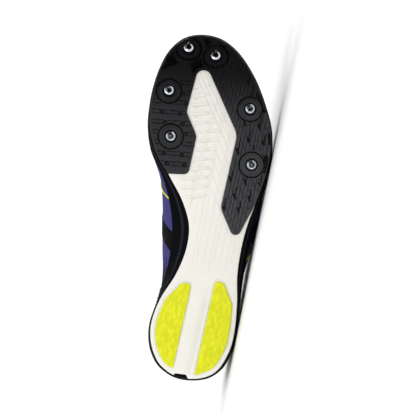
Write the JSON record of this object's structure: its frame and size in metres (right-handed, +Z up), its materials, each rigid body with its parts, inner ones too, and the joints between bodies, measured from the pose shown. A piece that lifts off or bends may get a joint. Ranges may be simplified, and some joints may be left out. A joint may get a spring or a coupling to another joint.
{
  "type": "cross country spike",
  "caption": "Low lace-up running spike for the left foot, with a forefoot spike plate, a waisted sole and a mesh upper, lying on its outer side.",
  "frame": {"origin": "middle of the underside of the shoe's box, on the floor that it lies on", "axes": "+X towards the toe, +Y from the tread towards the collar, +Z up, with the medial side up"},
  "size_m": [0.2796, 0.1144, 0.1061],
  "materials": {
    "plate": "satin moulded plate with fine tread",
    "spike": "bright turned steel",
    "base": "off-white matt rubber with fine embossed lines",
    "pad": "acid yellow rubber, softly mottled",
    "midsole": "black foam with a satin skin",
    "lining": "black knitted lining",
    "upper": "purple engineered mesh",
    "overlay": "black welded film",
    "tongue": "black padded mesh",
    "lace": "flat black woven lace"
  },
  "bodies": {
    "root": {"base_sole": "base", "eyestay": "overlay", "heel_counter": "overlay", "heel_pad_lateral": "pad", "heel_pad_medial": "pad", "insole": "lining", "lace": "lace", "midsole": "midsole", "spike_middle_lateral": "spike", "spike_middle_medial": "spike", "spike_plate": "plate", "spike_rear_lateral": "spike", "spike_rear_medial": "spike", "spike_toe_lateral": "spike", "spike_toe_medial": "spike", "tongue": "tongue", "upper": "upper"}
  },
  "joints": []
}
